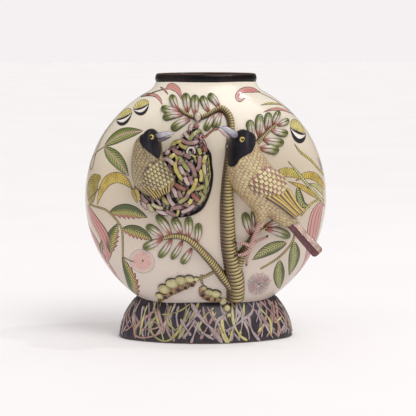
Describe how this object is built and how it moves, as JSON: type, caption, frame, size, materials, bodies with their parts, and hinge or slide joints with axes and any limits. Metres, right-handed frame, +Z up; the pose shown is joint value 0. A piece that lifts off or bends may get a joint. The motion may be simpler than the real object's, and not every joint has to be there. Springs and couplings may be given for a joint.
{
  "type": "moon flask vase",
  "caption": "Round flattened ceramic vase on a flared oval foot, with a modelled tree, weaver birds, a woven nest and seed pods luted to its front.",
  "frame": {"origin": "centre of the foot's resting plane, on the vase's own upright centre line", "axes": "+Z up, the modelled front faces -Y, +X to the viewer's right"},
  "size_m": [0.32, 0.1909, 0.35],
  "materials": {
    "cream_glaze": "clear glossy glaze over a cream painted ground",
    "black_glaze": "glossy charcoal black glaze",
    "bark": "glossy ochre and olive paint with dark incised rings",
    "leaf_paint": "glossy green, lilac and rose paint",
    "straw_paint": "glossy straw yellow paint with fine scale lines",
    "pink_clay": "glossy dusty pink paint",
    "yellow_paint": "glossy pale yellow paint",
    "rose_paint": "glossy brick rose paint",
    "beak_grey": "glossy silver grey paint",
    "maroon_paint": "glossy maroon paint with speckles",
    "amber_paint": "glossy amber paint"
  },
  "bodies": {
    "root": {"front_dish": "cream_glaze", "back_dish": "cream_glaze", "neck_collar": "cream_glaze", "rim_band": "black_glaze", "foot_skirt": "black_glaze", "trunk": "bark", "left_branch": "bark", "right_branch": "bark", "upper_branch": "bark", "nest_knot": "pink_clay", "leaflets_arch": "leaf_paint", "leaflets_twig": "leaf_paint", "leaflets_upper": "leaf_paint", "leaflets_left": "leaf_paint", "leaflets_right": "leaf_paint", "nest_cup": "black_glaze", "nest_edge": "black_glaze", "strips_under": "pink_clay", "strips_middle": "yellow_paint", "strips_over": "rose_paint", "neck_strips": "leaf_paint", "beak_strand": "pink_clay", "left_bird_body": "straw_paint", "left_bird_head": "black_glaze", "left_bird_upper_beak": "beak_grey", "left_bird_lower_beak": "beak_grey", "left_bird_eye": "amber_paint", "left_bird_wing": "straw_paint", "left_bird_quills": "straw_paint", "right_bird_body": "straw_paint", "right_bird_head": "black_glaze", "right_bird_upper_beak": "beak_grey", "right_bird_lower_beak": "beak_grey", "right_bird_eye": "amber_paint", "right_bird_wing": "straw_paint", "right_bird_quills": "yellow_paint", "right_bird_tail": "maroon_paint", "right_bird_leg": "pink_clay", "right_bird_toes": "pink_clay", "right_bird_claws": "black_glaze", "upper_pod_beads": "leaf_paint", "upper_pod_husk": "rose_paint", "upper_pod_seeds": "black_glaze", "lower_pod_beads": "leaf_paint", "lower_pod_husk": "rose_paint", "lower_pod_seeds": "black_glaze", "pod_stalk": "bark", "lower_stalk": "bark"}
  },
  "joints": []
}
